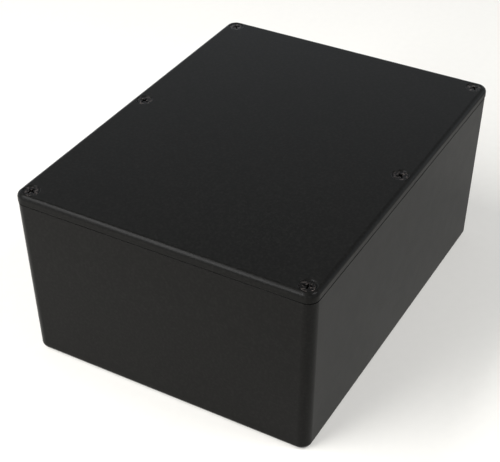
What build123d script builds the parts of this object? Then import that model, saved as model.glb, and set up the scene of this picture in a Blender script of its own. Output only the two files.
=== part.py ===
from build123d import *

import os
from math import radians, sqrt, tan

# A die-cast aluminium box with a lapped lid, closed by six countersunk screws:
#   base          the deep drafted tub, with a blind tapped boss at every screw
#   lid           a shallow tray turned over, with a lip that drops inside the tub's walls
#   cover_screws  six machine screws with flat heads and cross recesses
#
# X runs along the length, Y along the width and Z up. The origin is the centre of the
# underside, so the box stands on z = 0 with its lid on top. Sizes are millimetres and
# angles are degrees.

# The closed box, measured over the lid, which is its widest part
length = 165.1
width = 127.0
height = 76.2

# Lid: a plate stiffened by a deeper rim all round
lid_plate = 2.5
lid_hollow_depth = 1.3
lid_corner_radius = 4.6
lid_edge_radius = 2.0
lid_foot_bevel = 0.25
lid_overhang = 0.15

# Lip under the lid, which drops inside the walls of the base between the bosses
lip_depth = 1.8
lip_thickness = 1.6
lip_wall_gap = 0.3
lip_boss_gap = 0.4
lip_lead_in = 0.4

# Base: the walls lean in towards the foot so that the casting leaves its die
wall = 2.5
floor = 2.8
outside_draft = 1.3
inside_draft = 1.5
foot_edge_radius = 2.3
floor_fillet = 1.5

# Bosses: one in each corner and one half-way along each long wall
screw_inset = 5.15
boss_wall = 2.85
boss_web_radius = 3.7
tap_runout = 3.0

# Cover screws, and how they seat in the lid and the bosses
thread_radius = 1.75
screw_length = 12.7
head_radius = 3.1
head_land = 0.18
head_cone_angle = 82.0
head_sink = 0.3
head_seat_clearance = 0.03
thread_clearance = 0.03
lid_hole_clearance = 0.2

# Cross recess in the screw heads
recess_radius = 1.85
recess_tip_radius = 0.7
recess_depth = 1.6
recess_wing = 0.75

# How far each screw was turned when it came tight, in the order of screw_places()
recess_turns = (15.0, 49.0, 42.0, 76.0, 80.0, 32.0)

# Two points nearer than this are taken for one
same_place = 1e-4

# Worked out from the sizes above
lid_rim_height = lid_plate + lid_hollow_depth
seam_z = height - lid_rim_height
rim_length = length - 2 * lid_overhang
rim_width = width - 2 * lid_overhang
inside_length = rim_length - 2 * wall
inside_width = rim_width - 2 * wall
boss_radius = thread_radius + boss_wall
boss_reach = sqrt(
    (boss_radius + boss_web_radius) ** 2
    - (boss_web_radius + wall + lid_overhang - screw_inset) ** 2
)
lip_length = inside_length - 2 * lip_wall_gap
lip_width = inside_width - 2 * lip_wall_gap
hollow_length = lip_length - 2 * lip_thickness
hollow_width = lip_width - 2 * lip_thickness
head_slope = tan(radians(head_cone_angle / 2))
head_height = head_land + (head_radius - thread_radius) / head_slope
screw_top_z = height - head_sink
screw_tip_z = screw_top_z - screw_length


def screw_places():
    """Plan positions of the six screws: the -Y row, then the +Y row, each from -X to +X."""
    reach_x = length / 2 - screw_inset
    reach_y = width / 2 - screw_inset
    return [(x, y) for y in (-reach_y, reach_y) for x in (-reach_x, 0.0, reach_x)]


def leaning_slab(plane, across, along):
    """A slab whose two sides lean in by the outside draft, from the seam down to the foot."""
    lean = seam_z * tan(radians(outside_draft))
    end = Polyline(
        (lean - across / 2, 0),
        (across / 2 - lean, 0),
        (across / 2, seam_z),
        (-across / 2, seam_z),
        close=True,
    )
    return extrude(plane * make_face(end), amount=along / 2, both=True)


def make_outside():
    """The outer skin of the base: four drafted walls, with rounded corners and a rounded foot."""
    skin = leaning_slab(Plane.XZ, rim_length, rim_width)
    skin &= leaning_slab(Plane.YZ, rim_width, rim_length)
    skin = fillet(skin.edges().group_by(Axis.Z)[1], lid_corner_radius - lid_overhang)
    return fillet(skin.faces().sort_by(Axis.Z)[0].edges(), foot_edge_radius)


def cavity_mouth():
    """The outline of the cavity at the seam: a rectangle less the six bosses."""
    mouth = Rectangle(inside_length, inside_width)
    for x, y in screw_places():
        mouth -= Pos(x, y) * Circle(boss_radius)
        if x:
            corner_x = x + (screw_inset if x > 0 else -screw_inset) / 2
            corner_y = y + (screw_inset if y > 0 else -screw_inset) / 2
            mouth -= Pos(corner_x, corner_y) * Rectangle(screw_inset, screw_inset)

    def joins_a_wall(corner):
        return (
            abs(abs(corner.X) - inside_length / 2) < same_place
            or abs(abs(corner.Y) - inside_width / 2) < same_place
        )

    return fillet(mouth.vertices().filter_by(joins_a_wall), boss_web_radius)


def make_cavity():
    """The space inside the base, which narrows from its mouth to a floor with a radius round it."""
    mouth = Pos(0, 0, seam_z) * cavity_mouth()
    cavity = extrude(mouth, amount=floor - seam_z, taper=inside_draft)
    return fillet(cavity.faces().sort_by(Axis.Z)[0].edges(), floor_fillet)


def make_tapped_hole():
    """The blind hole in a boss, cored from the seam to just below the tip of its screw."""
    depth = seam_z - screw_tip_z + tap_runout
    hole = Circle(thread_radius + thread_clearance)
    return extrude(Pos(0, 0, seam_z) * hole, amount=-depth)


def make_base():
    """The tub: its outer skin, less the cavity and the six tapped holes."""
    base = make_outside() - make_cavity()
    hole = make_tapped_hole()
    for x, y in screw_places():
        base -= Pos(x, y) * hole
    return base


def make_hollow():
    """The shallow space under the lid, between its rim and the pads that meet the bosses."""
    plan = Rectangle(hollow_length, hollow_width)
    plan -= [Pos(x, y) * Circle(boss_radius + lip_boss_gap) for x, y in screw_places()]
    return extrude(Pos(0, 0, seam_z) * plan, amount=lid_hollow_depth)


def make_lip():
    """The lip under the lid, in six straight runs that stop short of the bosses."""
    band = Rectangle(lip_length, lip_width) - Rectangle(hollow_length, hollow_width)
    reach = 2 * (boss_reach + lip_boss_gap)
    for x, y in screw_places():
        if x:
            band -= Pos(x, y) * Rectangle(reach, reach)
        else:
            band -= Pos(x, y) * Rectangle(reach, 2 * screw_inset)
    lip = extrude(Pos(0, 0, seam_z) * band, amount=-lip_depth)
    lower_edges = lip.edges().group_by(Axis.Z)[0]

    def faces_a_wall(edge):
        middle = edge.center()
        return (
            abs(abs(middle.X) - lip_length / 2) < same_place
            or abs(abs(middle.Y) - lip_width / 2) < same_place
        )

    return chamfer(lower_edges.filter_by(faces_a_wall), lip_lead_in)


def make_countersunk_hole():
    """The hole in the lid for one screw: a cone that the head seats in, and a clear bore."""
    bore = thread_radius + lid_hole_clearance
    cone_top_z = screw_top_z - head_land
    seat = head_radius + head_seat_clearance
    mouth = seat + (height - cone_top_z) * head_slope
    cone_foot_z = cone_top_z - (seat - bore) / head_slope
    profile = Polyline(
        (0, seam_z),
        (bore, seam_z),
        (bore, cone_foot_z),
        (mouth, height),
        (0, height),
        close=True,
    )
    return revolve(Plane.XZ * make_face(profile), Axis.Z)


def make_lid():
    """The lid: a rimmed plate with a rounded top edge, a hollow underside, a lip and six holes."""
    plan = Pos(0, 0, seam_z) * RectangleRounded(length, width, lid_corner_radius)
    lid = extrude(plan, amount=lid_rim_height)
    lid = fillet(lid.faces().sort_by(Axis.Z)[-1].edges(), lid_edge_radius)
    lid = chamfer(lid.faces().sort_by(Axis.Z)[0].edges(), lid_foot_bevel)
    lid -= make_hollow()
    lid += make_lip()
    hole = make_countersunk_hole()
    for x, y in screw_places():
        lid -= Pos(x, y) * hole
    return lid


def make_recess():
    """The cross recess: two blades at right angles, narrower below."""
    side = Polyline(
        (-recess_radius, 0),
        (recess_radius, 0),
        (recess_tip_radius, -recess_depth),
        (-recess_tip_radius, -recess_depth),
        close=True,
    )
    blade = extrude(Plane.XZ * make_face(side), amount=recess_wing / 2, both=True)
    return blade + Rot(0, 0, 90) * blade


def make_screw():
    """One cover screw, its axis on Z and the face of its head at z = 0."""
    profile = Polyline(
        (0, 0),
        (head_radius, 0),
        (head_radius, -head_land),
        (thread_radius, -head_height),
        (thread_radius, -screw_length),
        (0, -screw_length),
        close=True,
    )
    return revolve(Plane.XZ * make_face(profile), Axis.Z) - make_recess()


def make_cover_screws():
    """The six screws in their places, each turned as far as it was driven."""
    screw = make_screw()
    placed = [
        Pos(x, y, screw_top_z) * Rot(0, 0, turn) * screw
        for (x, y), turn in zip(screw_places(), recess_turns)
    ]
    return Compound(children=[solid for part in placed for solid in part.solids()])


if __name__ == "__main__":
    os.makedirs("parts", exist_ok=True)
    export_step(make_base(), "parts/base.step")
    export_step(make_lid(), "parts/lid.step")
    export_step(make_cover_screws(), "parts/cover_screws.step")
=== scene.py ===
from collections import namedtuple
from math import atan2, cos, pi, sin, sqrt, tan

import bpy
import numpy as np
from bpy.props import FloatProperty, FloatVectorProperty, PointerProperty
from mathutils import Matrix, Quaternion, Vector
from mathutils.geometry import delaunay_2d_cdt


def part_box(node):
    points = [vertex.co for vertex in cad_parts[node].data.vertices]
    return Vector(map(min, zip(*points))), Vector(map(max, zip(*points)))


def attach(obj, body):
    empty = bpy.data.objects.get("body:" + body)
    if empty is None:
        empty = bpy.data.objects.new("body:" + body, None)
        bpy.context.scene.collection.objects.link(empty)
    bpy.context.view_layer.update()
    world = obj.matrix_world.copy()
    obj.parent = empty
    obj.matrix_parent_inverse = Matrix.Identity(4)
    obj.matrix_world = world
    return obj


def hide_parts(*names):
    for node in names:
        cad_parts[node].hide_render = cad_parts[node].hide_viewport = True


bl_info = {
    "name": "Die-cast enclosure",
    "version": (1, 0, 0),
    "blender": (4, 5, 0),
    "location": "3D View > Sidebar > Enclosure",
    "description": "Builds a painted die-cast box with its lid, cover screws and photo studio",
    "category": "Mesh",
}

# Lengths are metres and angles radians. X runs along the box, Y across it and Z up; the
# origin is the centre of its underside. MM and DEG let sizes be written as a drawing has them.
MM = 0.001
DEG = pi / 180

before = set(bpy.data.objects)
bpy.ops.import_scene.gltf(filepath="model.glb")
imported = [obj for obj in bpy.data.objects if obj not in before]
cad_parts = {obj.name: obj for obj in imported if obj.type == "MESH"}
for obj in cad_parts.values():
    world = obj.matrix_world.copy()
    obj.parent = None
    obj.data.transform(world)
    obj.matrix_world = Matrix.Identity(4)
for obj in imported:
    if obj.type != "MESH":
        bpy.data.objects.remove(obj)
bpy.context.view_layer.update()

# Where the frame's pieces lie, which fixes every outside size of the new ones
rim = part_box("base")[1]
lid_low, lid_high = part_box("lid")
screws_low, screws_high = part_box("cover_screws")
SEAM_Z = rim.z
LID_TOP_Z = lid_high.z
LIP_FOOT_Z = lid_low.z
SCREW_TOP_Z = screws_high.z
SCREW_TIP_Z = screws_low.z

# How finely round shapes are drawn
CORNER_STEPS = 20
EDGE_STEPS = 8
TURN_STEPS = 64
WING_STEPS = 28
MOUTH_STEPS = 200
ROWS_PER_THREAD = 8
LID_SPACING = 1.0 * MM

# The rows of points on the lid's rounded edge leave off at this many times a hole's size
ROOM_ROUND_HOLES = 1.06

# How far the tips of a thread's triangle are cut off, as a share of the thread's height
THREAD_FLAT = 0.125

# How square the bars of a screw's cross are, how sharply they meet and how even its points are
BAR_POWER = 8
CROSS_POWER = 10
EVEN = 0.35

# Where a screw's rings lie: out over the recess's floor, up its side and out over the face
FLOOR_PARTS = (0.5, 0.8, 0.97, 1.0)
SIDE_PARTS = (0.1, 0.35, 0.65, 0.9)
FACE_PARTS = (0.0, 0.3, 0.65, 1.0)

# The kind of triangulation that keeps only what its outlines enclose
ENCLOSED = 1

# Places nearer than WELD are one vertex, and lengths below ROUNDING count as nothing
WELD = 1e-6
ROUNDING = 1e-9

UP = (0.0, 0.0, 1.0)
DOWN = (0.0, 0.0, -1.0)

# How far the paint's roughness strays to either side, in patches this many times as large as its
# flecks, and how many times finer its grain is than its ripples
GLOSS_SPREAD = 0.01
PATCH_SIZE = 6
GRAIN_FINENESS = 5

# Depths in a screw's head from which wear fades and by which it is gone, which are also where a
# painted shade begins and where it is full, and how much of the film's colour that shade leaves
WEAR_FADES_SHADE_BEGINS, WEAR_ENDS_SHADE_FULL = 0.1 * MM, 0.4 * MM
PAINTED_DEEP_SHADE = 0.25

# Colours of the sky and of the floor's glow, and the size and lightness of the floor's fibres
SKY_TINT = (0.94, 1.0, 1.07, 1.0)
FLOOR_TINT = (1.0, 0.985, 0.955, 1.0)
BLACK = (0.0, 0.0, 0.0, 1.0)
FIBRE_SIZE = 4 * MM
FIBRE_LIGHT = 1.02

# How far each screw was turned when it came tight: the -Y row, then the +Y row, from -X to +X
SCREW_TURNS = tuple(turn * DEG for turn in (15, 49, 42, 76, 80, 32))


def length(name, description, millimetres):
    """A length that a user can change, in metres, from a default in millimetres."""
    return FloatProperty(
        name=name,
        description=description,
        default=millimetres * MM,
        min=0.0,
        precision=5,
        unit="LENGTH",
        subtype="DISTANCE",
    )


def angle(name, description, degrees):
    """An angle that a user can change, in radians, from a default in degrees."""
    return FloatProperty(
        name=name, description=description, default=degrees * DEG, subtype="ANGLE"
    )


def share(name, description, value, top=1.0):
    """A plain number from nothing to its top."""
    return FloatProperty(name=name, description=description, default=value, min=0.0, max=top)


def colour(name, description, value):
    """A linear colour."""
    return FloatVectorProperty(
        name=name, description=description, default=value, min=0.0, max=1.0, size=3, subtype="COLOR"
    )


class CastingSizes(bpy.types.PropertyGroup):
    """Sizes of the tub and the lid."""

    wall: length("Wall", "Thickness of the tub's walls at the seam", 2.5)
    floor: length("Floor", "Thickness of the tub's floor", 2.8)
    outside_draft: angle("Outside draft", "Lean of the outer walls", 1.3)
    inside_draft: angle("Inside draft", "Lean of the inner walls", 1.5)
    foot_radius: length("Foot radius", "Rounding round the underside", 2.3)
    floor_radius: length("Floor radius", "Rounding between floor and inner walls", 1.5)
    rim_easing: length("Rim easing", "Rounded edges of the tub's rim", 0.08)
    boss_wall: length("Boss wall", "Metal round each screw's thread", 2.85)
    boss_web_radius: length("Boss web radius", "Hollow rounding between boss and wall", 3.7)
    tap_runout: length("Tap runout", "Depth of the hole below the screw's tip", 3.0)
    tap_mouth: length("Tap mouth", "Bevel at the mouth of the tapped holes", 0.3)
    corner_radius: length("Corner radius", "Upright corners of the lid", 4.6)
    lid_edge_radius: length("Lid edge radius", "Rounding round the lid's top", 2.0)
    lid_easing: length("Lid easing", "Softened lower edges of the lid", 0.12)
    seam_gap: length("Seam gap", "Height of the fine groove in the tub below the lid", 0.68)
    seam_depth: length("Seam depth", "Depth of the groove in the tub below the lid", 0.2)
    lid_hollow: length("Lid hollow", "Depth of the space under the lid", 1.3)
    lip_thickness: length("Lip thickness", "Thickness of the lid's lip", 1.6)
    lip_wall_gap: length("Lip gap", "Room between the lip and the walls", 0.3)
    lip_boss_gap: length("Lip boss gap", "Room between the lid's pads and the lip's ends", 0.4)
    lip_lead_in: length("Lip lead-in", "Bevel on the lip's outer foot", 0.4)
    mouth_easing: length("Mouth easing", "Painted rounding of the countersinks", 0.35)


class ScrewSizes(bpy.types.PropertyGroup):
    """Sizes of the cover screws and of the holes that take them."""

    thread_radius: length("Thread radius", "Outer radius of the thread", 1.75)
    thread_depth: length("Thread depth", "Height of the thread's ridge", 0.42)
    crest_step: length("Crest step", "How far the ridge stays inside the plain neck", 0.03)
    thread_pitch: length("Thread pitch", "Rise of the thread in one turn", 0.794)
    head_radius: length("Head radius", "Radius of the flat head", 3.1)
    head_land: length("Head land", "Upright rim of the head", 0.18)
    head_easing: length("Head easing", "Rounding round the top of the head", 0.14)
    head_cone: angle("Head cone", "Full angle of the countersink", 82)
    seat_clearance: length("Seat clearance", "Room between the head and its seat", 0.03)
    thread_clearance: length("Thread clearance", "Room between thread and tapped hole", 0.03)
    hole_clearance: length("Hole clearance", "Room round the thread in the lid", 0.2)
    recess_radius: length("Recess radius", "Reach of the recess's wings at the top", 1.85)
    recess_foot_radius: length("Recess foot radius", "Reach of the wings at the bottom", 0.7)
    recess_wing: length("Recess wing", "Width of a wing at the top", 0.75)
    recess_foot_wing: length("Recess foot wing", "Width of a wing at the bottom", 0.6)
    recess_depth: length("Recess depth", "Depth of the cross recess", 1.6)
    recess_easing: length("Recess easing", "Rounding round the recess's mouth", 0.07)


class Finishes(bpy.types.PropertyGroup):
    """Colours and surface detail of the paint and the steel."""

    paint: colour("Paint", "Body colour of the paint", (0.0066, 0.0065, 0.0060))
    paint_light: colour("Paint, lighter", "Lighter flecks in the paint", (0.0116, 0.0113, 0.0104))
    paint_roughness: share("Paint roughness", "How satin the paint is", 0.32)
    paint_specular: share("Paint specular", "Strength of the paint's reflection", 0.07)
    mottle: length("Mottle", "Size of the lighter flecks", 1.1)
    peel: length("Peel", "Size of the ripples in the paint", 0.9)
    peel_height: length("Peel height", "Height of the ripples in the paint", 0.010)
    grain_height: length("Grain height", "Height of the fine grain in the paint", 0.003)
    steel: colour("Steel", "Black film on the screws", (0.012, 0.011, 0.010))
    steel_worn: colour("Steel, worn", "Steel where the film has worn off", (0.115, 0.095, 0.086))
    wear: length("Wear", "Size of the worn flecks", 1.1)
    steel_roughness: share("Steel roughness", "How dull the screws are", 0.36)
    steel_grain: length("Steel grain", "Size of the fine grain in the steel", 0.25)
    steel_grain_height: length("Steel grain height", "Height of the fine grain in the steel", 0.004)


class Studio(bpy.types.PropertyGroup):
    """Where the photo is taken from, and the light."""

    azimuth: angle("Azimuth", "Direction that the camera stands in", -60.6669)
    elevation: angle("Elevation", "Height of the camera over the horizon", 36.0852)
    roll: angle("Roll", "Turn of the camera round its own axis", -0.0481)
    distance: length("Distance", "From the camera to its aim", 510.8331)
    aim: FloatVectorProperty(
        name="Aim",
        description="Point at the middle of the picture",
        default=(-14.3733 * MM, -0.4579 * MM, 38.1 * MM),
        unit="LENGTH",
        subtype="TRANSLATION",
    )
    lens: share("Lens", "Focal length in millimetres on a 36 mm sensor", 89.6026, 500.0)
    floor_colour: colour("Floor", "Colour of the floor", (0.67, 0.655, 0.62))
    floor_size: length("Floor size", "Width of the floor", 3000.0)
    floor_glow: share("Floor glow", "Whiteness added to the floor that is seen", 0.27)
    # Painted shade on the floor that only reflections see, darker towards +X
    reflected_floor_shade: share("Floor dimming", "How much darker reflections see the far right floor", 0.83)
    reflected_shade_reach: length("Dimming reach", "Distance along X to the darkest floor", 500.0)
    sky_strength: share("Sky", "Light from all round", 0.22, 10.0)
    overhead: share("Overhead", "Brightness that reflections see overhead", 0.15, 10.0)
    glow: share("Glow", "Brightness that reflections gain at the horizon", 1.7, 10.0)
    glow_top: share("Glow top", "Height at which the glow ends, on a sphere of radius 1", 0.75)
    glow_power: share("Glow power", "How fast the glow fades upwards", 1.7, 10.0)
    box_strength: share("Softboxes", "Brightness of the softboxes' faces", 13.0, 100.0)
    box_distance: length("Softbox distance", "From the softboxes to the box", 900.0)
    key_width: length("Key width", "Width of the long softbox", 280.0)
    key_depth: length("Key depth", "Length of the long softbox", 1050.0)
    key_azimuth: angle("Key azimuth", "Direction that the long softbox stands in", -124.0)
    key_elevation: angle("Key elevation", "Height of the long softbox", 43.0)
    key_roll: angle("Key roll", "Turn of the long softbox round its own axis", 46.5)
    fill_width: length("Fill width", "Width and depth of the square softbox", 300.0)
    fill_azimuth: angle("Fill azimuth", "Direction that the square softbox stands in", 9.5)
    fill_elevation: angle("Fill elevation", "Height of the square softbox", 52.0)


GROUPS = {
    "enclosure_castings": CastingSizes,
    "enclosure_screws": ScrewSizes,
    "enclosure_finishes": Finishes,
    "enclosure_studio": Studio,
}


def groups(context):
    """The scene's groups of sizes and finishes, in the order of GROUPS."""
    return [getattr(context.scene, name) for name in GROUPS]


# Outlines and sections

Plan = namedtuple("Plan", "centres directions radii bends shifts")


def unit(vectors):
    """The vectors, each scaled to a length of 1."""
    return vectors / np.linalg.norm(vectors, axis=-1, keepdims=True)


def turning(start, stop, steps=CORNER_STEPS):
    """Angles from start to stop, evenly apart."""
    return np.linspace(start, stop, steps + 1)


def rays(turns):
    """The unit vector in plan towards each angle."""
    return np.column_stack((np.cos(turns), np.sin(turns)))


def arc(centre, radius, turns, bend, shift=(0.0, 0.0)):
    """Part of an outline in plan: the centre plus the radius along the ray of each angle.

    Drawn in by an inset, the radius changes by the inset times bend and the centre moves by the
    inset times shift.
    """
    same = np.ones((len(turns), 1))
    return Plan(
        same * centre, rays(turns), same[:, 0] * radius, same[:, 0] * bend, same * shift
    )


def drawn(plan):
    """The places that an outline runs through."""
    return plan.centres + plan.directions * plan.radii[:, None]


def join(*parts):
    """Arcs one after the other, with straight runs between them; a shared end is kept once."""
    plan = Plan(*(np.concatenate(values) for values in zip(*parts)))
    places = drawn(plan)
    apart = np.linalg.norm(places - np.roll(places, 1, axis=0), axis=1) > WELD
    return Plan(*(values[apart] for values in plan))


def mirrored(plan, x, y):
    """The outline with its X and Y multiplied by 1 or -1, still run counterclockwise."""
    signs = np.array((x, y))
    flipped = Plan(
        plan.centres * signs, plan.directions * signs, plan.radii, plan.bends, plan.shifts * signs
    )
    return Plan(*(values[::-1] for values in flipped)) if x * y < 0 else flipped


def all_round(quarter):
    """A whole outline from its quarter between +X and +Y."""
    signs = ((-1, 1), (-1, -1), (1, -1))
    return join(quarter, *(mirrored(quarter, *sign) for sign in signs))


def circle(x, y):
    """All directions round an axis; the inset of a section is then the distance from the axis."""
    return arc((x, y), 0.0, turning(0.0, 2 * pi, TURN_STEPS), 1.0)


def rounded_rectangle(half_length, half_width, radius, leaning=False):
    """Four outside corners, which shrink as they are drawn in, or keep their radius if leaning."""
    centre = (half_length - radius, half_width - radius)
    bend, shift = (0.0, (-1.0, -1.0)) if leaning else (-1.0, (0.0, 0.0))
    return all_round(arc(centre, radius, turning(0.0, pi / 2), bend, shift))


def closer(plan, spacing):
    """The outline with points added along its straight runs, no more than a spacing apart."""
    places = drawn(plan)
    gaps = np.linalg.norm(np.roll(places, -1, axis=0) - places, axis=1)
    counts = np.maximum(np.ceil(gaps / spacing).astype(int), 1)
    starts = np.repeat(np.cumsum(counts) - counts, counts)
    along = (np.arange(counts.sum()) - starts) / np.repeat(counts, counts)

    def between(values):
        weight = along.reshape(-1, *[1] * (values.ndim - 1))
        first, second = (np.repeat(np.roll(values, -k, axis=0), counts, axis=0) for k in (0, 1))
        return first * (1 - weight) + second * weight

    return Plan(*(between(values) for values in plan))


def inside(places, outline):
    """Whether each place lies in an outline.

    It does if the outline passes an odd number of times on one side of it.
    """
    x, y = places.T[:, :, None]
    x1, y1 = outline.T
    x2, y2 = np.roll(outline, -1, axis=0).T
    passes = (y1 > y) != (y2 > y)
    rise = np.where(y1 == y2, 1.0, y2 - y1)
    return (passes & (x < x1 + (y - y1) * (x2 - x1) / rise)).sum(axis=1) % 2 == 1


def filling(outlines, extra=np.empty((0, 2)), links=np.empty((0, 2), int)):
    """Triangles that fill the first outline but not the others, as rows of three point numbers.

    The points are those of the outlines and then the extra ones, and each link is an edge between
    two of the extra points.
    """
    points = np.concatenate((*outlines, extra))
    starts = np.cumsum([0] + [len(outline) for outline in outlines])
    rings = [np.arange(*ends) for ends in zip(starts, starts[1:])]
    edges = [np.column_stack((ring, np.roll(ring, -1))) for ring in rings] + [links + starts[-1]]
    plane = [Vector(point) for point in points]
    cut = delaunay_2d_cdt(plane, np.concatenate(edges).tolist(), [], ENCLOSED, ROUNDING)
    given = np.array([numbers[0] for numbers in cut[3]])
    numbers = given[np.array(cut[2])]
    for hole in outlines[1:]:
        numbers = numbers[~inside(points[numbers].mean(axis=1), hole)]
    return numbers


def rounded_section(*corners):
    """The smooth runs of a section through corners of (across, up, radius).

    A rounded corner is an arc tangent to the straight runs either side of it, so it starts short
    of the corner by the radius times the tangent of half the turn. Each row of a run holds a place
    and the direction to the left of travel, which is out of the metal. A corner with no radius is
    sharp and ends its run.
    """
    points = np.array([corner[:2] for corner in corners])
    travel = unit(np.diff(points, axis=0))
    left = np.column_stack((-travel[:, 1], travel[:, 0]))
    runs, run = [], [np.hstack((points[0], left[0]))[None]]
    for k in range(1, len(corners) - 1):
        radius = corners[k][2]
        if radius:
            turn = atan2(np.cross(travel[k - 1], travel[k]), travel[k - 1] @ travel[k])
            side = np.sign(turn)
            start = points[k] - travel[k - 1] * radius * tan(abs(turn) / 2)
            centre = start + left[k - 1] * radius * side
            angles = turning(0.0, turn, EDGE_STEPS)[:, None]
            normals = left[k - 1] * np.cos(angles) - travel[k - 1] * np.sin(angles)
            run.append(np.hstack((centre - normals * radius * side, normals)))
        else:
            run.append(np.hstack((points[k], left[k - 1]))[None])
            runs.append(np.concatenate(run))
            run = [np.hstack((points[k], left[k]))[None]]
    run.append(np.hstack((points[-1], left[-1]))[None])
    runs.append(np.concatenate(run))
    return runs


def carried(plan, run):
    """The surface of a section carried round an outline, as places and normals on a grid.

    Row by row the outline is drawn in by the section's inset and set at its height. The normal is
    the outline's own direction times the section's level part, plus the upright part times how fast
    the outline closes in there.
    """
    across, up, level, upright = run.T[:, :, None]
    move = plan.shifts + plan.directions * plan.bends[:, None]
    closing = (move * plan.directions).sum(axis=1)
    flat = drawn(plan) + across[..., None] * move
    height = np.broadcast_to(up, flat.shape[:2])
    places = np.dstack((flat, height))
    sideways = plan.directions * (level * np.sign(closing))[..., None]
    normals = np.dstack((sideways, upright * np.abs(closing)))
    return places, unit(normals)


def bent_normals(places, sign=1.0):
    """Normals of a grid whose rows close on themselves: the cross product of its two slopes."""
    around = np.roll(places, -1, axis=1) - np.roll(places, 1, axis=1)
    along = np.gradient(places, axis=0)
    normals = np.cross(around, along) * sign
    size = np.linalg.norm(normals, axis=2, keepdims=True)
    return np.divide(normals, size, out=np.zeros_like(normals) + UP, where=size > 0)


def placed(name, data):
    """A new object in the scene."""
    made = bpy.data.objects.new(name, data)
    bpy.context.scene.collection.objects.link(made)
    return made


class Skin:
    """The surfaces of one piece, gathered face by face and welded into one closed mesh."""

    def __init__(self):
        self.places = []
        self.normals = []

    def add(self, places, normals):
        """Takes faces of four corners, with a normal at each corner."""
        self.places.append(places.reshape(-1, 4, 3))
        self.normals.append(normals.reshape(-1, 4, 3))

    def grid(self, places, normals, closed=True):
        """Faces between neighbouring rows and columns of a grid, whose columns may run round."""
        both = np.concatenate((places, normals), axis=2)
        if closed:
            both = np.concatenate((both, both[:, :1]), axis=1)
        faces = np.stack((both[:-1, :-1], both[:-1, 1:], both[1:, 1:], both[1:, :-1]), axis=2)
        self.add(faces[..., :3], faces[..., 3:])

    def carry(self, plan, runs):
        """Carries each run of a section round an outline; returns the first and last outlines."""
        grids = [carried(plan, run) for run in runs]
        for places, normals in grids:
            self.grid(places, normals)
        return grids[0][0][0], grids[-1][0][-1]

    def wall(self, path, low, high):
        """An upright wall over a path in plan; the metal is on the right of travel."""
        tangents = unit(np.gradient(path, axis=0))
        left = np.column_stack((-tangents[:, 1], tangents[:, 0]))
        flat = np.stack((path, path))
        heights = np.repeat((low, high), len(path)).reshape(2, -1, 1)
        normals = np.concatenate((np.stack((left, left)), heights * 0), axis=2)
        self.grid(np.concatenate((flat, heights), axis=2), normals, closed=False)

    def triangles(self, places, normals):
        """Takes faces of three corners, with a normal at each corner."""
        fourth = (0, 1, 2, 2)
        self.add(places[:, fourth], normals[:, fourth])

    def cap(self, outlines, normal):
        """A flat face inside the first outline and outside the others."""
        normal = np.array(normal, float)
        flat = [np.delete(outline, np.abs(normal).argmax(), axis=1) for outline in outlines]
        places = np.concatenate(outlines)[filling(flat)]
        self.triangles(places, np.broadcast_to(normal, places.shape))

    def piece(self, name, material, slot, node):
        """Makes the piece, in place of a node of the frame and with its material; the slot is not
        used.
        """
        places = np.concatenate(self.places)
        normals = np.concatenate(self.normals)
        facing = np.cross(places[:, 2] - places[:, 0], places[:, 3] - places[:, 1])
        turned = (facing * normals.sum(axis=1)).sum(axis=1) < 0
        places[turned] = places[turned, ::-1]
        normals[turned] = normals[turned, ::-1]

        keys = np.round(places.reshape(-1, 3) / WELD).astype(np.int64)
        _, first, number = np.unique(keys, axis=0, return_index=True, return_inverse=True)
        number = number.reshape(-1, 4)
        kept = number != np.roll(number, -1, axis=1)
        kept[kept.sum(axis=1) < 3] = False
        sides = kept.sum(axis=1)
        sides = sides[sides > 0]

        mesh = bpy.data.meshes.new(name)
        mesh.vertices.add(len(first))
        mesh.vertices.foreach_set("co", places.reshape(-1, 3)[first].astype(np.float32).ravel())
        mesh.loops.add(int(sides.sum()))
        mesh.loops.foreach_set("vertex_index", number[kept].astype(np.int32))
        mesh.polygons.add(len(sides))
        mesh.polygons.foreach_set("loop_start", np.cumsum(sides) - sides)
        mesh.polygons.foreach_set("use_smooth", np.ones(len(sides), bool))
        mesh.update(calc_edges=True)
        if mesh.validate():
            raise ValueError(f"the mesh of {name} has faces that meet wrongly")
        mesh.normals_split_custom_set(normals[kept])
        mesh.materials.append(material)

        made = placed(name, mesh)
        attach(made, "root")
        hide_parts(node)


# The castings


def screw_places(screws):
    """Plan places of the screws: the -Y row, then the +Y row, each from -X to +X."""
    reach_x = screws_high.x - screws.head_radius
    reach_y = screws_high.y - screws.head_radius
    return [(x, y) for y in (-reach_y, reach_y) for x in (-reach_x, 0.0, reach_x)]


def boss_sizes(castings, screws):
    """The boss's radius, and how far along a wall its web starts from the screw's axis."""
    radius = screws.thread_radius + castings.boss_wall
    web = castings.boss_web_radius
    from_wall = web + castings.wall - (rim.y - screws_high.y + screws.head_radius)
    return radius, sqrt((radius + web) ** 2 - from_wall ** 2)


def cavity_outline(castings, screws):
    """The mouth of the tub: straight walls, and at each boss its nose between two web arcs.

    A web's centre lies its own radius from the wall, and its radius plus the boss's from the
    screw's axis, so each arc starts and ends where the next is tangent to it.
    """
    boss, reach = boss_sizes(castings, screws)
    web = castings.boss_web_radius
    wall_x, wall_y = rim.x - castings.wall, rim.y - castings.wall
    x, y = screw_places(screws)[-1]
    tilt = atan2(reach, x - wall_x + web)
    slant = pi / 2 - tilt
    quarter = join(
        arc((wall_x - web, y - reach), web, turning(0.0, tilt), -1.0),
        arc((x, y), boss, turning(tilt - pi, slant - pi), 1.0),
        arc((x - reach, wall_y - web), web, turning(slant, pi / 2), -1.0),
        arc((reach, wall_y - web), web, turning(pi / 2, pi - slant), -1.0),
        arc((0.0, y), boss, turning(-slant, -pi / 2), 1.0),
    )
    return all_round(quarter)


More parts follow.
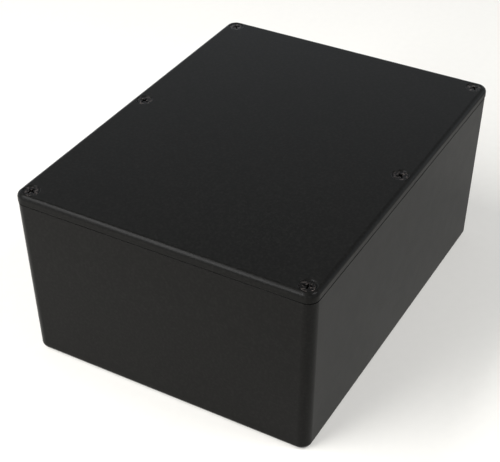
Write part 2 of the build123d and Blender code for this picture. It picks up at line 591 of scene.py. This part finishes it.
def threaded(x, y, low, high, extra, screws, inward):
    """A thread as a grid: the radius falls below the crest by a wave of height less turn.

    Seen in section the wave is a triangle with its tips cut off. It fades out over one pitch at
    both ends.
    """
    pitch = screws.thread_pitch
    rows = int((high - low) / pitch * ROWS_PER_THREAD)
    height = np.linspace(high, low, rows + 1)[:, None]
    turn = turning(0.0, 2 * pi, TURN_STEPS)[None, :-1]
    phase = (height - SCREW_TIP_Z) / pitch - turn / (2 * pi)
    triangle = np.abs(2 * (phase % 1.0) - 1)
    wave = np.clip((1 + 2 * THREAD_FLAT) * triangle - THREAD_FLAT, 0.0, 1.0)
    fade = np.clip(np.minimum(high - height, height - low) / pitch, 0.0, 1.0)
    radius = screws.thread_radius + extra - screws.thread_depth * wave * fade
    places = np.dstack((x + radius * np.cos(turn), y + radius * np.sin(turn), radius * 0 + height))
    return places, bent_normals(places, 1.0 if inward else -1.0)


def tub_skin(castings, screws):
    """The tub: drafted walls outside and in, a rounded foot, and six tapped bosses."""
    skin = Skin()
    slope = tan(castings.outside_draft)
    lean = SEAM_Z * slope
    foot = castings.foot_radius
    knee_z = 2 * foot
    knee = (SEAM_Z - knee_z) * slope
    corner = castings.corner_radius - (lid_high.x - rim.x)
    easing = castings.rim_easing
    groove, shoulder_z = castings.seam_depth, SEAM_Z - castings.seam_gap

    wall = rounded_section(
        (knee, knee_z, 0),
        (castings.seam_gap * slope, shoulder_z, easing),
        (groove, shoulder_z, 0),
        (groove, SEAM_Z, 0),
        (2 * groove, SEAM_Z, 0),
    )
    outline = rounded_rectangle(rim.x, rim.y, corner, leaning=True)
    _, rim_outline = skin.carry(outline, wall)

    foot_run = rounded_section(
        (lean + foot - knee, 0, 0), (lean - knee, 0, foot), (0, knee_z, 0)
    )
    outline = rounded_rectangle(rim.x - knee, rim.y - knee, corner)
    underside, _ = skin.carry(outline, foot_run)
    skin.cap([underside], DOWN)

    inside_lean = (SEAM_Z - castings.floor) * tan(castings.inside_draft)
    cavity = rounded_section(
        (-easing, SEAM_Z, 0),
        (0, SEAM_Z, easing),
        (inside_lean, castings.floor, castings.floor_radius),
        (inside_lean + castings.floor_radius, castings.floor, 0),
    )
    mouth, floor_outline = skin.carry(cavity_outline(castings, screws), cavity)
    skin.cap([floor_outline], UP)

    bore = screws.thread_radius + screws.thread_clearance
    bevel = castings.tap_mouth
    bottom_z = SCREW_TIP_Z - castings.tap_runout
    pit = rounded_section((0, bottom_z, 0), (bore, bottom_z, bore / 4), (bore, SCREW_TIP_Z, 0))
    entry = rounded_section((bore, SEAM_Z - bevel, 0), (bore + bevel, SEAM_Z, 0))
    mouths = []
    for x, y in screw_places(screws):
        _, hole_mouth = skin.carry(circle(x, y), entry)
        mouths.append(hole_mouth[:-1])
        thread = threaded(
            x, y, SCREW_TIP_Z, SEAM_Z - bevel, screws.thread_clearance, screws, True
        )
        skin.grid(*thread)
        skin.carry(circle(x, y), pit)
    skin.cap([rim_outline, mouth, *mouths], UP)
    return skin


def lip_sizes(castings, screws):
    """The hollow's half sizes, the pads' radius, and the half gap in the lip at each boss."""
    inset = castings.wall + castings.lip_wall_gap + castings.lip_thickness
    half = np.array((rim.x, rim.y)) - inset
    boss, reach = boss_sizes(castings, screws)
    return half, boss + castings.lip_boss_gap, reach + castings.lip_boss_gap


def hollow_paths(castings, screws):
    """The paths round the hollow, counterclockwise from +X, and whether a lip hangs at each.

    Each pad is a circle round its screw, cut by the hollow's straight sides: it meets a side where
    the distance along that side is the root of the radius squared less the distance off it squared.
    """
    (side_x, side_y), pad, gap = lip_sizes(castings, screws)
    x, y = screw_places(screws)[-1]
    off_x, off_y = side_x - x, side_y - y
    cut_x, cut_y = sqrt(pad ** 2 - off_x ** 2), sqrt(pad ** 2 - off_y ** 2)

    def pad_side(x, start, stop):
        return drawn(arc((x, y), pad, turning(start, stop, 2 * CORNER_STEPS), 0.0))

    quarter = [
        (np.array([(side_x, y - gap), (side_x, y - cut_x)]), False),
        (pad_side(x, atan2(-cut_x, off_x), atan2(off_y, -cut_y) - 2 * pi), False),
        (np.array([(x - cut_y, side_y), (x - gap, side_y)]), False),
        (np.array([(x - gap, side_y), (gap, side_y)]), True),
        (np.array([(gap, side_y), (cut_y, side_y)]), False),
        (pad_side(0.0, atan2(off_y, cut_y), -pi / 2), False),
    ]
    side = [(np.array([(side_x, gap - y), (side_x, y - gap)]), True)]
    across = [(path[::-1] * (-1, 1), lip) for path, lip in reversed(quarter)]
    half = side + quarter + across
    return half + [(-path, lip) for path, lip in half]


def lip_run(skin, path, castings):
    """One straight run of the lip: its section carried from one end of the path to the other.

    Returns the four corners of its foot on the underside of the lid.
    """
    start, end = path
    along = unit(end - start)
    outward = np.array((along[1], -along[0]))
    thickness, bevel = castings.lip_thickness, castings.lip_lead_in
    runs = rounded_section(
        (0, SEAM_Z, 0),
        (0, LIP_FOOT_Z, 0),
        (thickness - bevel, LIP_FOOT_Z, 0),
        (thickness, LIP_FOOT_Z + bevel, 0),
        (thickness, SEAM_Z, 0),
    )
    for run in runs:
        flat = path[None] + outward * run[:, :1, None]
        height = np.broadcast_to(run[:, 1:2, None], (len(run), 2, 1))
        level = np.broadcast_to(-outward * run[:, 2:3, None], flat.shape)
        upright = np.broadcast_to(-run[:, 3:4, None], height.shape)
        normals = np.concatenate((level, upright), axis=2)
        skin.grid(np.concatenate((flat, height), axis=2), normals, closed=False)
    section = np.concatenate([run[:1] for run in runs] + [runs[-1][-1:]])
    for place, facing in ((start, -along), (end, along)):
        flat = place + outward * section[:, :1]
        skin.cap([np.hstack((flat, section[:, 1:2]))], (*facing, 0.0))
    far = outward * thickness
    return np.array([start, start + far, end + far, end])


def lid_top(places, castings):
    """The height of the lid's top over places in plan, and the way it faces there.

    It is flat, and falls as a quarter circle within the edge radius of the outline. How far a place
    is inside the outline is the corner radius less its reach past the middles of the corner arcs.
    """
    corner, edge = castings.corner_radius, castings.lid_edge_radius
    past = np.abs(places) - (lid_high.x - corner, lid_high.y - corner)
    past = np.maximum(past, 0.0) * np.sign(places)
    reach = np.linalg.norm(past, axis=-1)
    over = np.clip(reach - corner + edge, 0.0, edge)
    rise = np.sqrt(edge ** 2 - over ** 2)
    level = past * (over / edge / np.maximum(reach, WELD))[..., None]
    return LID_TOP_Z - edge + rise, np.concatenate((level, (rise / edge)[..., None]), axis=-1)


def countersink(skin, x, y, section, castings):
    """Carries a section round a screw's axis, up to where it comes out through the lid's top.

    In each direction that is the first distance from the axis where the section isn't below the
    top. Returns the edge that is left in the top, and how the top faces along it.
    """
    across, up, level, upright = section.T
    spokes = rays(turning(0.0, 2 * pi, TURN_STEPS)[:-1])
    tries = np.linspace(across[0], across[-1], MOUTH_STEPS)
    top, _ = lid_top((x, y) + tries[:, None, None] * spokes, castings)
    depth = top - np.interp(tries, across, up)[:, None]
    out = np.argmax(depth < ROUNDING, axis=0)
    before, after = (np.take_along_axis(depth, (out - k)[None], axis=0)[0] for k in (1, 0))
    reach = tries[out - 1] + (tries[1] - tries[0]) * np.clip(before / (before - after), 0.0, 1.0)

    radius = np.minimum(across[:, None], reach)
    height = np.interp(radius, across, up)
    sideways = spokes * np.interp(radius, across, level)[..., None]
    places = np.dstack(((x, y) + spokes * radius[..., None], height))
    skin.grid(places, np.dstack((sideways, np.interp(radius, across, upright))))
    return places[-1], lid_top(places[-1, :, :2], castings)[1]


def roof(skin, outline, edges, castings):
    """The lid's top inside an outline: its rounded edge and its flat, round the edges of the holes.

    The rounded edge has rows of points at even turns, which leave off close to a hole.
    """
    turns = turning(0.0, pi / 2, EDGE_STEPS)
    radius = castings.lid_edge_radius
    across, up = radius * (1 - np.cos(turns)), LID_TOP_Z - radius * (1 - np.sin(turns))
    rows, facing = carried(outline, np.column_stack((across, up, -np.cos(turns), np.sin(turns))))
    numbers = np.arange(rows[1:, :, 0].size).reshape(EDGE_STEPS, -1)
    links = np.stack((numbers, np.roll(numbers, -1, axis=1)), axis=2).reshape(-1, 2)
    inner, inner_facing = rows[1:].reshape(-1, 3), facing[1:].reshape(-1, 3)
    clear = np.ones(len(inner), bool)
    for edge, _ in edges:
        middle = edge[:, :2].mean(axis=0)
        clear &= ~inside(inner[:, :2], middle + (edge[:, :2] - middle) * ROOM_ROUND_HOLES)
    links = (np.cumsum(clear) - 1)[links[clear[links].all(axis=1)]]
    loops = [rows[0], *(edge for edge, _ in edges)]
    corners = np.concatenate((*loops, inner[clear]))
    normals = np.concatenate((facing[0], *(towards for _, towards in edges), inner_facing[clear]))
    faces = filling([loop[:, :2] for loop in loops], inner[clear, :2], links)
    skin.triangles(corners[faces], normals[faces])


def at_height(path, height):
    """A path in plan, set at a height."""
    return np.column_stack((path, np.full(len(path), height)))


def lid_skin(castings, screws):
    """The lid: a rounded plate with six countersinks, a hollow below and a lip in six runs."""
    skin = Skin()
    easing = castings.lid_easing
    outline = rounded_rectangle(lid_high.x, lid_high.y, castings.corner_radius)
    outline = closer(outline, LID_SPACING)
    side = rounded_section(
        (easing, SEAM_Z, 0), (0, SEAM_Z, easing), (0, LID_TOP_Z - castings.lid_edge_radius, 0)
    )
    foot_outline, _ = skin.carry(outline, side)

    slope = tan(screws.head_cone / 2)
    bore = screws.thread_radius + screws.hole_clearance
    seat = screws.head_radius + screws.seat_clearance
    cone_top_z = SCREW_TOP_Z - screws.head_land
    cone_foot_z = cone_top_z - (seat - bore) / slope
    mouth = seat + (LID_TOP_Z - cone_top_z) * slope
    soft = castings.mouth_easing
    hole = rounded_section(
        (bore + easing, SEAM_Z, 0), (bore, SEAM_Z, easing), (bore, cone_foot_z, 0)
    )
    cone = rounded_section(
        (bore, cone_foot_z, 0), (mouth, LID_TOP_Z, soft), (mouth + soft / 2, LID_TOP_Z, 0)
    )[0]
    lower_rings = [skin.carry(circle(x, y), hole)[0][:-1] for x, y in screw_places(screws)]
    edges = [countersink(skin, x, y, cone, castings) for x, y in screw_places(screws)]
    roof(skin, outline, edges, castings)

    ceiling_z = SEAM_Z + castings.lid_hollow
    paths = hollow_paths(castings, screws)
    under = []
    for path, has_lip in paths:
        skin.wall(path, SEAM_Z, ceiling_z)
        under.append(lip_run(skin, path, castings)[:-1] if has_lip else path[:-1])
    ceiling = np.concatenate([path[:-1] for path, _ in paths])
    skin.cap([at_height(ceiling, ceiling_z)], DOWN)
    skin.cap([foot_outline, at_height(np.concatenate(under), SEAM_Z), *lower_rings], DOWN)
    return skin


# The cover screws


def cross(turn, reach, half_wing):
    """The radius of a cross in each direction: the smooth union of two rounded bars.

    Each bar is a superellipse, reach long and half_wing wide to each side of the middle. The sum
    of both radii raised to a power, and its root, joins them with a small hollow radius.
    """
    c, s = np.abs(np.cos(turn)), np.abs(np.sin(turn))
    lengthwise = ((c / reach) ** BAR_POWER + (s / half_wing) ** BAR_POWER) ** (-1 / BAR_POWER)
    crosswise = ((s / reach) ** BAR_POWER + (c / half_wing) ** BAR_POWER) ** (-1 / BAR_POWER)
    return (lengthwise ** CROSS_POWER + crosswise ** CROSS_POWER) ** (1 / CROSS_POWER)


def wing_turns():
    """Directions round the recess, closest together along the four wings."""
    spread = np.linspace(-1.0, 1.0, WING_STEPS, endpoint=False)
    wing = pi / 4 * (EVEN * spread + (1 - EVEN) * spread ** 3)
    return np.concatenate([wing + quarter * pi / 2 for quarter in range(4)])


def screw_skin(x, y, turned, screws):
    """One screw: a cross recess, the flat head, its cone and the thread, all round one axis."""
    skin = Skin()
    local = wing_turns()
    turns = local + turned
    top = SCREW_TOP_Z

    def ring(radius, height):
        radius = np.broadcast_to(radius, turns.shape)
        return at_height((x, y) + radius[:, None] * rays(turns), height)

    half_wing, half_foot = screws.recess_wing / 2, screws.recess_foot_wing / 2
    soft, foot = screws.recess_easing, screws.recess_foot_radius
    floor_z = top - screws.recess_depth
    rows = [ring(0.0, floor_z - soft)]
    for part in FLOOR_PARTS:
        outline = cross(local, foot * part, half_foot * part)
        rows.append(ring(outline, floor_z - soft * (1 - part)))
    for part in SIDE_PARTS:
        reach = foot * (1 - part) + screws.recess_radius * part
        half = half_foot * (1 - part) + half_wing * part
        rows.append(ring(cross(local, reach, half), floor_z + screws.recess_depth * part))
    for turn in turning(0.0, pi / 2, EDGE_STEPS // 2):
        grown = soft * (1 - cos(turn))
        outline = cross(local, screws.recess_radius + grown, half_wing + grown)
        rows.append(ring(outline, top - soft * (1 - sin(turn))))
    recess = np.stack(rows)
    skin.grid(recess, bent_normals(recess, -1.0))

    edge = screws.head_radius - screws.head_easing
    mouth = cross(local, screws.recess_radius + soft, half_wing + soft)
    face = np.stack([ring(mouth + (edge - mouth) * part, top) for part in FACE_PARTS])
    skin.grid(face, np.broadcast_to(UP, face.shape))

    slope = tan(screws.head_cone / 2)
    neck = screws.thread_radius
    land_z = top - screws.head_land
    neck_z = land_z - (screws.head_radius - neck) / slope
    thread_z = neck_z - screws.thread_pitch / 2
    head = rounded_section(
        (edge, top, 0),
        (screws.head_radius, top, screws.head_easing),
        (screws.head_radius, land_z, screws.head_easing / 2),
        (neck, neck_z, screws.head_easing),
        (neck, thread_z, 0),
    )
    _, shoulder = skin.carry(arc((x, y), 0.0, turns, 1.0), head)
    thread, normals = threaded(x, y, SCREW_TIP_Z, thread_z, -screws.crest_step, screws, False)
    skin.grid(thread, normals)
    skin.cap([shoulder, thread[0]], DOWN)
    skin.cap([thread[-1]], DOWN)
    return skin


# Finishes


class Nodes:
    """A small helper that adds nodes to a tree and links them by socket name."""

    def __init__(self, tree):
        self.tree = tree

    def add(self, kind, inputs=(), **settings):
        """A node of a kind, with its settings, and inputs that are numbers or other sockets."""
        node = self.tree.nodes.new(kind)
        for name, value in settings.items():
            setattr(node, name, value)
        self.fill(node.inputs, dict(inputs))
        return node

    def fill(self, sockets, values):
        """Links each socket that is named to another, or sets its value."""
        for name, value in values.items():
            if isinstance(value, bpy.types.NodeSocket):
                self.tree.links.new(value, sockets[name])
            else:
                sockets[name].default_value = value

    def coordinate(self, axis, kind="Object"):
        """The object's own coordinate along an axis, or one of another kind."""
        place = self.add("ShaderNodeTexCoord").outputs[kind]
        return self.add("ShaderNodeSeparateXYZ", {"Vector": place}).outputs[axis]

    def noise(self, size, detail, roughness=0.5):
        """Noise over the object's own coordinates, with features of about that size."""
        place = self.add("ShaderNodeTexCoord").outputs["Object"]
        inputs = {"Vector": place, "Scale": 1 / size, "Detail": detail, "Roughness": roughness}
        return self.add("ShaderNodeTexNoise", inputs).outputs["Fac"]

    def ramp(self, value, low, high, start=0.0, stop=1.0):
        """A number that goes from start to stop as the value goes from low to high."""
        ends = {"From Min": low, "From Max": high, "To Min": start, "To Max": stop}
        return self.add("ShaderNodeMapRange", {"Value": value, **ends}).outputs["Result"]

    def math(self, operation, *values):
        """A sum on numbers or sockets."""
        return self.add("ShaderNodeMath", enumerate(values), operation=operation).outputs["Value"]

    def mix(self, amount, first, second, kind="RGBA"):
        """Two colours, or numbers where the kind is FLOAT, mixed by an amount."""
        inputs = {"Factor": amount, "A": first, "B": second}
        return self.add("ShaderNodeMix", inputs, data_type=kind).outputs["Result"]

    def bump(self, height, size, under=None):
        """Relief of a height in metres, on top of any relief under it."""
        inputs = {"Height": height, "Distance": size, "Strength": 1.0}
        if under is not None:
            inputs["Normal"] = under
        return self.add("ShaderNodeBump", inputs).outputs["Normal"]


def new_material(name):
    """A new material, with its helper and the sockets of its shader."""
    material = bpy.data.materials.new(name)
    material.use_nodes = True
    shader = material.node_tree.nodes["Principled BSDF"].inputs
    return material, Nodes(material.node_tree), shader


def black_paint(finishes):
    """Satin black paint on a casting: faint lighter flecks, a low orange peel and a fine grain."""
    material, nodes, shader = new_material("Satin black paint")
    speckle = nodes.noise(finishes.mottle, detail=5.0, roughness=0.62)
    flecks = nodes.ramp(speckle, low=0.45, high=0.72)
    shade = nodes.mix(flecks, (*finishes.paint, 1.0), (*finishes.paint_light, 1.0))
    duller, glossier = (finishes.paint_roughness + step for step in (GLOSS_SPREAD, -GLOSS_SPREAD))
    patches = nodes.noise(PATCH_SIZE * finishes.mottle, detail=3.0)
    gloss = nodes.ramp(patches, low=0.35, high=0.65, start=glossier, stop=duller)
    peel = nodes.bump(nodes.noise(finishes.peel, detail=2.0), finishes.peel_height)
    fine = nodes.noise(finishes.peel / GRAIN_FINENESS, detail=2.0)
    grain = nodes.bump(fine, finishes.grain_height, under=peel)
    nodes.fill(shader, {
        "Base Color": shade,
        "Roughness": gloss,
        "Specular IOR Level": finishes.paint_specular,
        "Normal": grain,
    })
    return material


def black_steel(finishes):
    """Blackened steel: a dark film, worn through in flecks on the faces of the heads.

    The film is whole below the face of a head, and a painted shade darkens it there, in the recess
    and on the cone: the share of the film's colour that shows falls with the depth.
    """
    material, nodes, shader = new_material("Blackened steel")
    # Below the lower height the film is whole and darkened by the full painted shade; above the
    # upper one wear shows and no shade is painted
    whole, open_to_wear_unshaded = SCREW_TOP_Z - WEAR_ENDS_SHADE_FULL, SCREW_TOP_Z - WEAR_FADES_SHADE_BEGINS
    # face rises from 0 deep in a head to 1 on its face: it lets the wear show and takes away the
    # painted shade
    face = nodes.ramp(nodes.coordinate("Z"), low=whole, high=open_to_wear_unshaded)
    worn = nodes.ramp(nodes.noise(finishes.wear, detail=3.0), low=0.52, high=0.60)
    shade = nodes.mix(worn, (*finishes.steel, 1.0), (*finishes.steel_worn, 1.0))
    # Painted shade: the film's colour darkened in the recess and on the cone, below the head's face
    film = tuple(part * PAINTED_DEEP_SHADE for part in finishes.steel)
    fine = nodes.noise(finishes.steel_grain, detail=3.0)
    grain = nodes.bump(fine, finishes.steel_grain_height)
    # The base colour mixes the painted shade deep in a head with the worn film on its face
    nodes.fill(shader, {
        "Base Color": nodes.mix(face, (*film, 1.0), shade),
        "Metallic": 0.85,
        "Roughness": finishes.steel_roughness,
        "Normal": grain,
    })
    return material


# The studio


def direction(azimuth, elevation):
    """The unit vector towards an azimuth and elevation, as the camera's are given."""
    return Vector(
        (sin(azimuth) * cos(elevation), -cos(azimuth) * cos(elevation), sin(elevation))
    )


def aimed(name, data, place, back, roll):
    """A camera or light at a place, with its back to a direction, and then rolled."""
    made = placed(name, data)
    made.rotation_mode = "QUATERNION"
    made.location = place
    made.rotation_quaternion = (-back).to_track_quat("-Z", "Y") @ Quaternion(UP, roll)
    return made


def make_camera(studio):
    """A camera at its distance from the aim, turned to it and then rolled."""
    back = direction(studio.azimuth, studio.elevation)
    data = bpy.data.cameras.new("Camera")
    data.lens = studio.lens
    data.sensor_width = 36.0
    data.clip_start, data.clip_end = 0.01, 20.0
    place = Vector(studio.aim) + back * studio.distance
    bpy.context.scene.camera = aimed("Camera", data, place, back, studio.roll)


def make_softbox(name, studio, towards, width, depth, roll=0.0):
    """A softbox aimed at the box and then rolled.

    Its power is the brightness of its face times pi and the face's area.
    """
    data = bpy.data.lights.new(name, "AREA")
    data.shape = "RECTANGLE"
    data.size, data.size_y = width, depth
    data.energy = studio.box_strength * pi * width * depth
    place = Vector((0.0, 0.0, LID_TOP_Z / 2)) + towards * studio.box_distance
    aimed(name, data, place, towards, roll).visible_camera = False


def make_softboxes(studio):
    """A long softbox high behind the left side, and a small square one over the right side."""
    key = direction(studio.key_azimuth, studio.key_elevation)
    make_softbox("Key", studio, key, studio.key_width, studio.key_depth, studio.key_roll)
    fill = direction(studio.fill_azimuth, studio.fill_elevation)
    make_softbox("Fill", studio, fill, studio.fill_width, studio.fill_width)


def make_sky(studio):
    """Even light from all round, white to the camera, and fading upwards in reflections.

    A reflection sees a base brightness plus a glow times how far its direction is below the
    elevation where the glow ends, as a share, raised to a power.
    """
    world = bpy.data.worlds.new("Studio")
    bpy.context.scene.world = world
    world.use_nodes = True
    nodes = Nodes(world.node_tree)
    lower = nodes.ramp(nodes.coordinate("Z", "Generated"), low=studio.glow_top, high=0.0)
    fading = nodes.math("POWER", lower, studio.glow_power)
    mirrored_sky = nodes.math("MULTIPLY_ADD", fading, studio.glow, studio.overhead)
    path = nodes.add("ShaderNodeLightPath").outputs
    light = nodes.mix(path["Is Glossy Ray"], studio.sky_strength, mirrored_sky, "FLOAT")
    seen = nodes.mix(path["Is Camera Ray"], light, 1.0, "FLOAT")
    background = world.node_tree.nodes["Background"].inputs
    nodes.fill(background, {"Color": SKY_TINT, "Strength": seen})


def floor_paper(studio):
    """Pale paper that takes shadows, and looks white to the camera.

    Reflections see a painted shade on it towards the right, darker by a share that grows evenly
    with X.
    """
    material, nodes, shader = new_material("Pale paper")
    fibres = nodes.ramp(nodes.noise(FIBRE_SIZE, detail=4.0), low=0.3, high=0.7)
    light = tuple(part * FIBRE_LIGHT for part in studio.floor_colour)
    paper = nodes.mix(fibres, (*studio.floor_colour, 1.0), (*light, 1.0))
    path = nodes.add("ShaderNodeLightPath").outputs
    reach = studio.reflected_shade_reach
    # Painted shade: reflections see the floor darker towards +X, in its colour and in its glow
    darker = nodes.ramp(nodes.coordinate("X"), low=0.0, high=reach, stop=studio.reflected_floor_shade)
    reflected_shade = nodes.math("MULTIPLY", darker, path["Is Glossy Ray"])
    mirrored_too = nodes.math("MAXIMUM", path["Is Camera Ray"], path["Is Glossy Ray"])
    seen = nodes.math("MAXIMUM", mirrored_too, path["Is Transmission Ray"])
    shown = nodes.math("MULTIPLY", seen, nodes.math("SUBTRACT", 1.0, reflected_shade))
    glow = nodes.math("MULTIPLY", shown, studio.floor_glow)
    # Under the painted shade the paper's colour goes towards black in reflections
    nodes.fill(shader, {
        "Base Color": nodes.mix(reflected_shade, paper, BLACK),
        "Roughness": 0.9,
        "Specular IOR Level": 0.0,
        "Emission Color": FLOOR_TINT,
        "Emission Strength": glow,
    })
    return material


def make_floor(studio):
    """One level sheet under the box."""
    half = studio.floor_size / 2
    mesh = bpy.data.meshes.new("Floor")
    signs = ((-1, -1), (1, -1), (1, 1), (-1, 1))
    mesh.from_pydata([(half * x, half * y, 0.0) for x, y in signs], [], [(0, 1, 2, 3)])
    mesh.materials.append(floor_paper(studio))
    floor = placed("Floor", mesh)


# Operators, panel and registration


class ENCLOSURE_OT_tub(bpy.types.Operator):
    """Build the cast tub"""

    bl_idname = "enclosure.tub"
    bl_label = "Tub"

    def execute(self, context):
        castings, screws, finishes, _ = groups(context)
        skin = tub_skin(castings, screws)
        skin.piece("tub", black_paint(finishes), "black_paint", "base")
        return {"FINISHED"}


class ENCLOSURE_OT_lid(bpy.types.Operator):
    """Build the lid with its countersinks, hollow and lip"""

    bl_idname = "enclosure.lid"
    bl_label = "Lid"

    def execute(self, context):
        castings, screws, finishes, _ = groups(context)
        skin = lid_skin(castings, screws)
        skin.piece("cover_lid", black_paint(finishes), "black_paint", "lid")
        return {"FINISHED"}


class ENCLOSURE_OT_cover_screws(bpy.types.Operator):
    """Build the six cover screws"""

    bl_idname = "enclosure.cover_screws"
    bl_label = "Cover screws"

    def execute(self, context):
        _, screws, finishes, _ = groups(context)
        steel = black_steel(finishes)
        for number, (place, turn) in enumerate(zip(screw_places(screws), SCREW_TURNS), 1):
            skin = screw_skin(*place, turn, screws)
            skin.piece(f"cover_screw_{number}", steel, "black_steel", "cover_screws")
        return {"FINISHED"}


class ENCLOSURE_OT_stage(bpy.types.Operator):
    """Set up the floor, the light and the camera"""

    bl_idname = "enclosure.stage"
    bl_label = "Stage"

    def execute(self, context):
        studio = groups(context)[-1]
        context.scene.view_settings.view_transform = "Standard"
        make_floor(studio)
        make_sky(studio)
        make_softboxes(studio)
        make_camera(studio)
        return {"FINISHED"}


STEPS = (
    ENCLOSURE_OT_tub,
    ENCLOSURE_OT_lid,
    ENCLOSURE_OT_cover_screws,
    ENCLOSURE_OT_stage,
)


class ENCLOSURE_PT_panel(bpy.types.Panel):
    """Sizes, finishes and the buttons that build each piece"""

    bl_idname = "ENCLOSURE_PT_panel"
    bl_label = "Enclosure"
    bl_space_type = "VIEW_3D"
    bl_region_type = "UI"
    bl_category = "Enclosure"

    def draw(self, context):
        layout = self.layout
        for step in STEPS:
            layout.operator(step.bl_idname)
        for group in groups(context):
            box = layout.box()
            for name in type(group).__annotations__:
                box.prop(group, name)


CLASSES = (*GROUPS.values(), *STEPS, ENCLOSURE_PT_panel)


def register():
    for made in CLASSES:
        bpy.utils.register_class(made)
    for name, group in GROUPS.items():
        setattr(bpy.types.Scene, name, PointerProperty(type=group))


def unregister():
    for name in GROUPS:
        delattr(bpy.types.Scene, name)
    for made in reversed(CLASSES):
        bpy.utils.unregister_class(made)


def main():
    """Builds the pieces and the stage in order."""
    register()
    bpy.ops.enclosure.tub()
    bpy.ops.enclosure.lid()
    bpy.ops.enclosure.cover_screws()
    bpy.ops.enclosure.stage()


if __name__ == "__main__":
    main()
